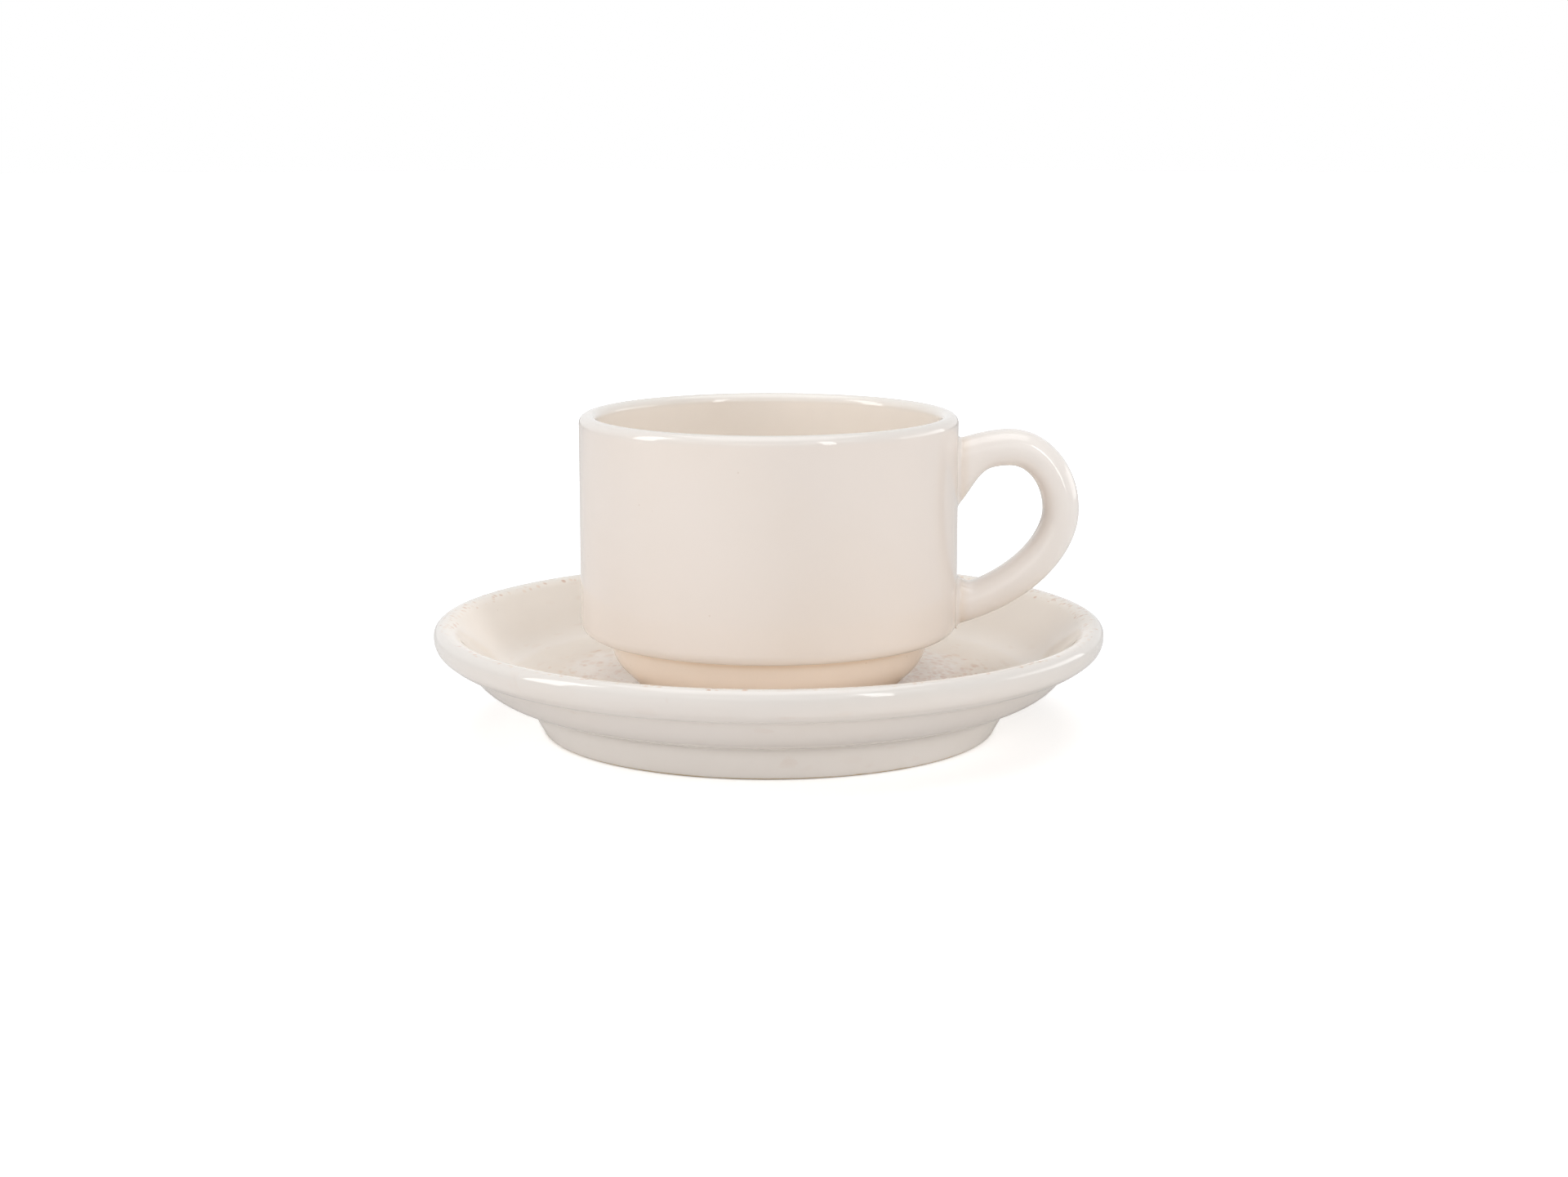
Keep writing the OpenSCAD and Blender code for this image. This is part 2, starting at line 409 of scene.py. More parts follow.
@dataclass(frozen=True)
class Mottle:
    """A kind of cloudy noise.

    Args:
        scale: Number of clouds in a unit of length.
        detail: Number of finer layers.
        rough: Strength of each finer layer.
    """

    scale: float
    detail: float = 2.0
    rough: float = 0.5


class Graph:
    """A node tree that is written as Python expressions."""

    def __init__(self, tree: bpy.types.NodeTree) -> None:
        """Empties the tree and keeps it."""
        self.tree = tree
        tree.nodes.clear()

    @classmethod
    def of(cls, owner: Union[bpy.types.Material, bpy.types.World]) -> "Graph":
        """Tree of a material or of the world."""
        owner.use_nodes = True
        return cls(owner.node_tree)

    def node(self, kind: str, settings: Optional[dict[str, Any]] = None,
             sockets: Optional[dict[Union[str, int], Any]] = None, out: Union[str, int] = 0) -> Value:
        """New node.

        Args:
            kind: Type of the node.
            settings: Its properties, which are set first.
            sockets: Values or links of its inputs, by name or number.
            out: Name or number of the output that is wanted.

        Returns:
            That output.
        """
        node = self.tree.nodes.new(kind)
        for name, setting in (settings or {}).items():
            setattr(node, name, setting)
        for name, term in (sockets or {}).items():
            if isinstance(term, Value):
                self.tree.links.new(term.socket, node.inputs[name])
            else:
                node.inputs[name].default_value = term
        return Value(self, node.outputs[out])

    def math(self, operation: str, *terms: Term) -> Value:
        """Math node on one or two values."""
        return self.node("ShaderNodeMath", {"operation": operation}, dict(enumerate(terms)))

    def mix(self, share: Term, low: Union[Value, Colour], high: Union[Value, Colour]) -> Value:
        """Colour between two colours.

        Args:
            share: 0 for the first colour, 1 for the second.
            low: The first colour.
            high: The second colour.

        Returns:
            The mixed colour.
        """
        return self.node("ShaderNodeMix", {"data_type": "RGBA"}, {0: share, 6: low, 7: high}, 2)

    def noise(self, place: Value, mottle: Mottle) -> Value:
        """Cloudy noise around 0.5.

        Args:
            place: Where it is read.
            mottle: Its kind.

        Returns:
            The noise.
        """
        return self.node("ShaderNodeTexNoise", None, {
            "Vector": place, "Scale": mottle.scale, "Detail": mottle.detail, "Roughness": mottle.rough})

    def cells(self, place: Value, scale: float) -> tuple[Value, Value, Value]:
        """Cells around scattered points.

        Args:
            place: Where they are read.
            scale: Number of cells in a unit of length.

        Returns:
            The distance from the cell's point in cells, and two numbers picked for the cell.
        """
        away = self.node("ShaderNodeTexVoronoi", None, {"Vector": place, "Scale": scale}, "Distance")
        pick = Value(self, away.socket.node.outputs["Color"])
        one, two = (self.node("ShaderNodeSeparateColor", None, {0: pick}, channel)
                    for channel in (0, 1))
        return away, one, two

    def shader(self, **sockets: Any) -> Value:
        """Principled shader; underscores in the names of its inputs stand for spaces."""
        named = {name.replace("_", " "): term for name, term in sockets.items()}
        return self.node("ShaderNodeBsdfPrincipled", None, named)

    def end(self, kind: str, shader: Value) -> None:
        """Sends a shader to the output node."""
        self.tree.links.new(shader.socket, self.tree.nodes.new(kind).inputs[0])


def paint(code: str) -> Colour:
    """Linear colour of an sRGB code such as e8ddd2."""
    s = np.array([int(code[i:i + 2], 16) for i in (0, 2, 4)]) / 255.0
    linear = np.where(s <= 0.04045, s / 12.92, ((s + 0.055) / 1.055) ** 2.4)
    return (float(linear[0]), float(linear[1]), float(linear[2]), 1.0)


# Finishes


@dataclass(frozen=True)
class Coat:
    """How strongly a colour lies over another: a smooth step of a mask, times a share.

    Args:
        low: Mask at which the coat starts.
        high: Mask at which it is full.
        share: Share of its colour where it is full.
    """

    low: float
    high: float
    share: float

    def of(self, mask: Value) -> Value:
        """Share of the coat's colour at a mask."""
        return mask.over(self.low, self.high) * self.share


@dataclass(frozen=True)
class Specks:
    """Round specks in a few of the cells around scattered points.

    Args:
        cells: Number of cells in a unit of length.
        size: Distances from the cell's point, in cells, between which a speck ends.
        picked: Picked numbers between which a cell comes to hold a full speck.
        share: Share of the specks' colour.
    """

    cells: float
    size: Step
    picked: Step
    share: float

    def on(self, g: Graph, place: Value) -> Value:
        """Share of the specks' colour at a place."""
        away, pick, _ = g.cells(place, self.cells)
        return (1.0 - away.over(*self.size)) * pick.over(*self.picked) * self.share


@dataclass(frozen=True)
class Fleck:
    """A kind of ragged fleck, one to a cell.

    Args:
        size: Distances from the cell's point, in cells, between which a fleck ends.
        picked: Picked numbers between which a cell comes to hold a full fleck, at a density of 0.
        pale: Share of the colour of the palest flecks.
        deep: Share that the darkest flecks have more.
    """

    size: Step
    picked: Step
    pale: float
    deep: float


@dataclass(frozen=True)
class Glaze:
    """Glossy cream glaze over pale clay.

    It is a little uneven in tone, painted lighter inside and at the foot as painted light, thin and
    plain over edges, darker in creases as pooled glaze and painted shade, has the faint ripple of a
    dipped glaze, and is wiped off where the foot stands. The mark named tone is 1 inside, -1 at the foot
    and 0 between.

    Args:
        name: Name of the material.
        cream: Main colour, of the outer side.
        bowl_painted_light: Colour inside, painted lighter than the outer side as painted light.
        foot: Colour at the foot, painted lighter than the outer side as painted light.
        cloud: Colour of the cloudy patches.
        thin: Colour over edges.
        pool_and_shade: Colour in creases, of pooled glaze and of painted shade.
        clay: Colour of the bare foot.
        grain: Colour of the specks in the clay that show through.
        foot_z: Height of the foot that is wiped bare.
        wiped: Height above it up to which the foot is bare.
        wipe_soft: Width of the wiped edge.
        wipe_rag: How far that edge goes up and down.
        wipe_edge: Kind of its raggedness.
        gloss: Lowest roughness.
        ripple: Height of the ripple.
        waves: Kind of the ripple.
        clouds: Kind of the cloudy patches.
        cloud_coat: Strength of the patches by their noise.
        thin_coat: Strength of the thin glaze by the fold.
        pool_and_shade_coat: Strength of the pooled glaze and painted shade in creases, by the fold
            turned over.
        specks: Kind of the specks.
        smears: Kind of the duller patches.
        smear_coat: Roughness that they add, by their noise.
        chalk: Kind of the bare clay's grain.
        chalk_h: Height of that grain in ripples.
        clay_rough: Roughness of the bare clay.
        ior: Refractive index of the glaze.
    """

    name: str
    cream: str = "ede3db"
    bowl_painted_light: str = "fbf3ea"
    foot: str = "f8ebde"
    cloud: str = "eadccc"
    thin: str = "e2dfdb"
    pool_and_shade: str = "dcc09e"
    clay: str = "d8c4a6"
    grain: str = "b79a78"
    foot_z: float = -1.0
    wiped: float = 0.35 * MM
    wipe_soft: float = 0.3 * MM
    wipe_rag: float = 0.5 * MM
    wipe_edge: Mottle = Mottle(260.0)
    gloss: float = 0.03
    ripple: float = 0.04 * MM
    waves: Mottle = Mottle(140.0, 2.0, 0.4)
    clouds: Mottle = Mottle(28.0, 3.0, 0.55)
    cloud_coat: Coat = Coat(0.4, 0.75, 0.16)
    thin_coat: Coat = Coat(0.3, 1.0, 0.6)
    pool_and_shade_coat: Coat = Coat(0.05, 1.0, 0.8)
    specks: Specks = Specks(330.0, (0.03, 0.1), (0.92, 0.98), 0.25)
    smears: Mottle = Mottle(55.0, 4.0, 0.6)
    smear_coat: Coat = Coat(0.3, 0.8, 0.03)
    chalk: Mottle = Mottle(2600.0, 3.0, 0.7)
    chalk_h: float = 2.0
    clay_rough: float = 0.75
    ior: float = 1.5

    def colour(self, g: Graph, place: Value, fold: Value, tone: Value) -> Value:
        """Colour of the glaze: painted light by place, clouds, thin edges, pools with painted shade, and
        specks.

        Args:
            g: The node tree.
            place: Place on the object.
            fold: Fold of the surface.
            tone: Mark of the painted light: 1 inside, -1 at the foot.

        Returns:
            The colour.
        """
        # Painted light: the cream is made lighter inside and at the foot, where the tone mark says.
        colour = g.mix(tone.over(0.0, 1.0), paint(self.cream), paint(self.bowl_painted_light))
        colour = g.mix((0.0 - tone).over(0.0, 1.0), colour, paint(self.foot))
        clouds = self.cloud_coat.of(g.noise(place, self.clouds))
        colour = g.mix(clouds, colour, paint(self.cloud))
        colour = g.mix(self.thin_coat.of(fold), colour, paint(self.thin))
        # Pooled glaze and painted shade: the colour darkens in creases.
        colour = g.mix(self.pool_and_shade_coat.of(0.0 - fold), colour, paint(self.pool_and_shade))
        return g.mix(self.specks.on(g, place), colour, paint(self.grain))

    def material(self) -> bpy.types.Material:
        """The finished material."""
        material = bpy.data.materials.new(self.name)
        g = Graph.of(material)
        place = g.node("ShaderNodeTexCoord", out="Object")
        fold, tone = (g.node("ShaderNodeAttribute", {"attribute_name": mark}, out="Fac")
                      for mark in ("fold", "tone"))
        height = g.node("ShaderNodeSeparateXYZ", None, {0: place}, 2)
        ragged = height - g.noise(place, self.wipe_edge) * self.wipe_rag
        edge_z = self.foot_z + self.wiped
        bare = 1.0 - ragged.over(edge_z - self.wipe_soft, edge_z)
        colour = g.mix(bare, self.colour(g, place, fold, tone), paint(self.clay))
        dull = self.gloss + self.smear_coat.of(g.noise(place, self.smears))
        relief = g.noise(place, self.waves) + bare * g.noise(place, self.chalk) * self.chalk_h
        bump = g.node("ShaderNodeBump", None, {
            "Strength": 1.0, "Distance": self.ripple, "Height": relief})
        g.end("ShaderNodeOutputMaterial", g.shader(
            Base_Color=colour, Roughness=dull + bare * (self.clay_rough - dull), IOR=self.ior,
            Normal=bump))
        return material


@dataclass(frozen=True)
class FleckedGlaze(Glaze):
    """Cream glaze with rust flecks on the inner side of a turned piece.

    The flecks lie as short dashes around the middle, thicker toward one side, break through along
    the crest of the lip, and are strewn as single dots over the slope between.

    Args:
        rust: Colour of the darkest flecks.
        tan: Colour of the palest flecks.
        ash: Colour of the single dots.
        dash_in: Radius at which the dashes start.
        dash_full: Radius at which they are densest.
        dash_fade: Radius at which they start to fade.
        dash_out: Radius at which they end.
        dash_layers: For each layer of dashes, the number of cells in a radian and the width of a cell.
        dash: Kind of the dashes.
        thick_side: Way from the middle to the side where the dashes are thickest, as x and y.
        thick_coat: Density that is added toward that side, by the cosine of the angle from it.
        density: Density at the far side.
        haze: Kind of the pale haze among the dashes.
        haze_coat: Strength of the haze by its noise.
        rag: Kind of the flecks' ragged edges.
        rag_depth: Depth of that edge, in cells.
        crest_r: Radius of the crest's inner edge.
        crest_flat: Half of the width in which chips break through there.
        crest_soft: Width at each side over which they end.
        gaps: Kind of the gaps between groups of chips.
        chip_coat: Density of the chips by the noise of the gaps.
        chip_cells: Number of the chips' cells in a unit of length.
        chip: Kind of the chips.
        slope_in: Radius at which the slope with its dots starts.
        slope_soft: Width over which the dots start.
        dots: Kind of the single dots.
        inner_tone: Tones between which the inner side starts.
        crest_tone: Tones between which the crest starts.
    """

    rust: str = "c27c44"
    tan: str = "dfb287"
    ash: str = "9c8768"
    dash_in: float = 27.0 * MM
    dash_full: float = 30.0 * MM
    dash_fade: float = 38.0 * MM
    dash_out: float = 56.0 * MM
    dash_layers: tuple[tuple[float, float], ...] = ((12.0, 1.5 * MM), (19.0, 0.9 * MM))
    dash: Fleck = Fleck((0.45, 0.95), (0.95, 1.1), 0.14, 0.2)
    thick_side: tuple[float, float] = (0.75, -0.66)
    thick_coat: Coat = Coat(-0.6, 0.9, 0.45)
    density: float = 0.4
    haze: Mottle = Mottle(150.0, 3.0, 0.65)
    haze_coat: Coat = Coat(0.35, 0.7, 0.4)
    rag: Mottle = Mottle(700.0)
    rag_depth: float = 0.5
    crest_r: float = 72.3 * MM
    crest_flat: float = 1.4 * MM
    crest_soft: float = 1.6 * MM
    gaps: Mottle = Mottle(30.0, 1.0)
    chip_coat: Coat = Coat(0.2, 0.55, 0.7)
    chip_cells: float = 700.0
    chip: Fleck = Fleck((0.4, 0.85), (1.0, 1.15), 0.2, 0.3)
    slope_in: float = 52.0 * MM
    slope_soft: float = 4.0 * MM
    dots: Specks = Specks(95.0, (0.03, 0.055), (0.68, 0.74), 0.6)
    inner_tone: Step = (0.2, 0.7)
    crest_tone: Step = (0.1, 0.4)

    def flecks(self, g: Graph, colour: Value, cells: tuple[Value, Value, Value], kind: Fleck,
               ragged: Value, dense: Value) -> Value:
        """Colour with ragged flecks over it.

        Args:
            g: The node tree.
            colour: The colour under them.
            cells: Distance from the cell's point, and the two numbers picked for the cell.
            kind: Kind of the flecks.
            ragged: What is added to the distance.
            dense: Density of the flecks.

        Returns:
            The colour.
        """
        away, pick, shade = cells
        start, full = kind.picked
        fleck = (1.0 - (away + ragged).over(*kind.size)) * pick.over(start - dense, full - dense)
        hue = g.mix(shade, paint(self.tan), paint(self.rust))
        return g.mix(fleck * (shade * kind.deep + kind.pale), colour, hue)

    def colour(self, g: Graph, place: Value, fold: Value, tone: Value) -> Value:
        """Colour of the glaze with its flecks.

        The dashes are cells that are read at (n x / r, n y / r, r / step), so that they are drawn out
        around the axis: a layer of large ones and a layer of small ones.

        Args:
            g: The node tree.
            place: Place on the object.
            fold: Fold of the surface.
            tone: Mark of the painted light: 1 inside, -1 at the foot.

        Returns:
            The colour.
        """
        colour = super().colour(g, place, fold, tone)
        x, y = (g.node("ShaderNodeSeparateXYZ", None, {0: place}, axis) for axis in (0, 1))
        r = (x * x + y * y) ** 0.5
        inner = tone.over(*self.inner_tone)
        side = (x * self.thick_side[0] + y * self.thick_side[1]) / r
        ring = r.over(self.dash_in, self.dash_full) * (1.0 - r.over(self.dash_fade, self.dash_out))
        dense = ring * (self.thick_coat.of(side) + self.density) * inner
        haze = self.haze_coat.of(g.noise(place, self.haze)) * dense
        colour = g.mix(haze, colour, paint(self.tan))
        ragged = g.noise(place, self.rag) * self.rag_depth
        for turn, step in self.dash_layers:
            arcs = g.node("ShaderNodeCombineXYZ", None, {
                0: x / r * turn, 1: y / r * turn, 2: r / step})
            colour = self.flecks(g, colour, g.cells(arcs, 1.0), self.dash, ragged, dense)
        crest = r.near(self.crest_r, self.crest_flat, self.crest_soft) * tone.over(*self.crest_tone)
        dense = crest * self.chip_coat.of(g.noise(place, self.gaps))
        chips = g.cells(place, self.chip_cells)
        colour = self.flecks(g, colour, chips, self.chip, ragged, dense)
        slope = r.over(self.slope_in, self.slope_in + self.slope_soft)
        return g.mix(self.dots.on(g, place) * inner * slope, colour, paint(self.ash))


# The object


@dataclass(frozen=True)
class Saucer:
    """The saucer: one turned surface with lip, dish, well and foot ring.

    Args:
        lip_r: Radius over the lip.
        top_z: Height of the lip's crest.
        seat_z: Height of the seat that the cup stands on.
    """

    lip_r: float
    top_z: float
    seat_z: float
    lip_w: float = 4.0 * MM
    lip_h: float = 7.3 * MM
    lip_undercut: float = 6.2 * MM
    lip_tuck: float = 0.6 * MM
    bevel_w: float = 3.5 * MM
    bevel_h: float = 2.7 * MM
    dish_run: float = 10.5 * MM
    dish_rise: float = 5.0 * MM
    wall: float = 4.0 * MM
    wall_lean: float = math.radians(40.0)
    well_r: float = 29.0 * MM
    well_edge: float = 31.0 * MM
    well_h: float = 1.0 * MM
    ring_r: float = 50.6 * MM
    ring_w: float = 5.0 * MM
    ring_h: float = 7.5 * MM
    ring_flare: float = 4.1 * MM
    hollow_h: float = 3.6 * MM
    hollow_taper: float = 1.0 * MM
    well_round: float = 1.2 * MM
    edge_round: float = 3.0 * MM
    dish_round: float = 12.0 * MM
    crest_in_round: float = 4.4 * MM
    crest_out_round: float = 2.4 * MM
    lip_round: float = 4.4 * MM
    bevel_round: float = 6.5 * MM
    tuck_round: float = 2.5 * MM
    belly_round: float = 14.0 * MM
    flare_round: float = 5.0 * MM
    ring_round: float = 1.4 * MM
    hollow_round: float = 2.0 * MM
    tone_soft: float = 2.0 * MM

    @classmethod
    def from_frame(cls) -> "Saucer":
        """Saucer of the size that the frame gives."""
        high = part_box("saucer")[1]
        return cls(high.x, high.z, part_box("cup_body")[0].z)

    def corners(self) -> list[Corner]:
        """Corners of the section: over the dish to the lip, and back under the belly and the foot."""
        lip_in, lip_low = self.lip_r - self.lip_w, self.top_z - self.lip_h
        dish_r, dish_z = lip_in - self.dish_run, self.seat_z + self.dish_rise
        belly_r = dish_r + self.wall * math.cos(self.wall_lean)
        belly_z = dish_z - self.wall * math.sin(self.wall_lean)
        ring_in = self.ring_r - self.ring_w
        return [
            Corner(0.0, self.seat_z),
            Corner(self.well_r, self.seat_z, self.well_round),
            Corner(self.well_edge, self.seat_z + self.well_h, self.edge_round),
            Corner(dish_r, dish_z, self.dish_round),
            Corner(lip_in, self.top_z, self.crest_in_round),
            Corner(self.lip_r, self.top_z, self.crest_out_round),
            Corner(self.lip_r, lip_low + self.bevel_h, self.lip_round),
            Corner(self.lip_r - self.bevel_w, lip_low, self.bevel_round),
            Corner(self.lip_r - self.lip_undercut, lip_low - self.lip_tuck, self.tuck_round),
            Corner(belly_r, belly_z, self.belly_round),
            Corner(self.ring_r + self.ring_flare, self.ring_h, self.flare_round),
            Corner(self.ring_r, 0.0, self.ring_round),
            Corner(ring_in, 0.0, self.ring_round),
            Corner(ring_in - self.hollow_taper, self.hollow_h, self.hollow_round),
            Corner(0.0, self.hollow_h),
        ]

    def build(self, lathe: Lathe, finish: Glaze) -> bpy.types.Object:
        """Turned and glazed saucer.

        The tone fades from the dish over the crest to the lip's outermost point, and changes to that
        of the foot at the top of the foot ring. This is painted light: the dish and the foot ring get
        lighter colours than the lip's outer side and the belly.

        Args:
            lathe: The maker of turned surfaces.
            finish: The glaze.

        Returns:
            The object.
        """
        outline = lathe.outline(self.corners())
        r, z = outline.points.T
        under = np.arange(len(r)) > np.argmax(r)
        crest = 1.0 - ease((r - self.lip_r + self.lip_w) / self.lip_w)
        ring = ease((self.ring_h - z) / self.tone_soft + 0.5)
        surface = lathe.surface(outline, np.where(under, -ring, crest))
        return place_piece("saucer_glazed", surface, finish.material(), Body.SAUCER,
                           "saucer")


@dataclass(frozen=True)
class Cup:
    """The cup without its handle: one turned vessel with rim, wall, shoulder and stacking foot.

    Args:
        wall_r: Radius of the outer wall.
        base_z: Height of the base.
        rim_z: Height of the rim.
    """

    wall_r: float
    base_z: float
    rim_z: float
    wall: float = 4.0 * MM
    floor: float = 5.0 * MM
    stack_h: float = 14.4 * MM
    stack_play: float = 2.3 * MM
    stack_taper: float = 0.9 * MM
    stack_extra: float = 0.5 * MM
    shoulder_sag: float = 0.5 * MM
    turn_h: float = 8.2 * MM
    bowl_drop: float = 1.0 * MM
    bowl_narrowing: float = 2.0 * MM
    base_r: float = 26.5 * MM
    base_ring: float = 4.0 * MM
    base_hollow: float = 1.4 * MM
    base_taper: float = 0.6 * MM
    floor_round: float = 8.0 * MM
    bowl_round: float = 6.0 * MM
    rim_in_round: float = 1.9 * MM
    rim_out_round: float = 2.0 * MM
    shoulder_round: float = 2.6 * MM
    stack_round: float = 0.7 * MM
    turn_round: float = 9.0 * MM
    base_round: float = 1.0 * MM
    base_in_round: float = 0.8 * MM

    @classmethod
    def from_frame(cls) -> "Cup":
        """Cup of the size that the frame gives."""
        low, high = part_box("cup_body")
        return cls(high.x, low.z, high.z)

    def corners(self) -> list[Corner]:
        """Corners of the section: up the inside, over the rim, and down the outside to the base."""
        mouth_r, height = self.wall_r - self.wall, self.rim_z - self.base_z
        stack_r = mouth_r - self.stack_play
        turn_r = stack_r - self.stack_taper
        bowl_r = turn_r - self.wall - self.stack_extra
        base_in = self.base_r - self.base_ring
        above = [
            Corner(0.0, self.floor),
            Corner(bowl_r - self.bowl_narrowing, self.floor, self.floor_round),
            Corner(bowl_r, self.stack_h - self.bowl_drop, self.bowl_round),
            Corner(mouth_r, self.stack_h + self.wall, self.bowl_round),
            Corner(mouth_r, height, self.rim_in_round),
            Corner(self.wall_r, height, self.rim_out_round),
            Corner(self.wall_r, self.stack_h - self.shoulder_sag, self.shoulder_round),
            Corner(stack_r, self.stack_h, self.stack_round),
            Corner(turn_r, self.turn_h, self.turn_round),
            Corner(self.base_r, 0.0, self.base_round),
            Corner(base_in, 0.0, self.base_in_round),
            Corner(base_in - self.base_taper, self.base_hollow, self.base_in_round),
            Corner(0.0, self.base_hollow),
        ]
        return [Corner(c.r, c.z + self.base_z, c.rounding) for c in above]

    def build(self, lathe: Lathe, finish: Glaze) -> bpy.types.Object:
        """Turned and glazed cup.

        The tone fades from the inside over the rim, and changes to that of the foot at the crease
        under the shoulder. This is painted light: the inside and the foot get lighter colours than the
        outer wall.

        Args:
            lathe: The maker of turned surfaces.
            finish: The glaze.

        Returns:
            The object.
        """
        outline = lathe.outline(self.corners())
        r, z = outline.points.T
        outside = np.arange(len(r)) > np.argmax(r)
        rim = 1.0 - ease((r - self.wall_r + self.wall) / self.wall)
        foot = ease((self.wall_r - self.wall - r) / self.stack_play)
        surface = lathe.surface(outline, np.where(outside, -foot, rim))
        return place_piece("cup_glazed", surface, finish.material(), Body.CUP, "cup_body")


@dataclass(frozen=True)
class Rings:
    """Sections along the handle, each in a plane across it.

    Args:
        centre: Middle of each section, as x and z.
        out: Way to the handle's outer side.
        outer: Reach to the outer side.
        inner: Reach to the inner side.
        side: Reach to each side.
    """

    centre: Array
    out: Array
    outer: Array
    inner: Array
    side: Array

    def points(self, around: int, power: float) -> Array:
        """Points of all sections: rounded outlines whose two reaches go as powers of cosine and sine.

        Args:
            around: Number of points of a section.
            power: Power of the outline: 2 for an ellipse, more for a fuller shape.

        Returns:
            Points by section and place around it.
        """
        k = 2.0 * np.pi * np.arange(around) / around
        u = np.sign(np.cos(k)) * np.abs(np.cos(k)) ** (2.0 / power)
        v = np.sign(np.sin(k)) * np.abs(np.sin(k)) ** (2.0 / power)
        reach = np.where(u > 0.0, self.outer[:, None], self.inner[:, None]) * u
        x = self.centre[:, :1] + self.out[:, :1] * reach
        z = self.centre[:, 1:] + self.out[:, 1:] * reach
        return np.stack([x, self.side[:, None] * v, z], axis=-1)


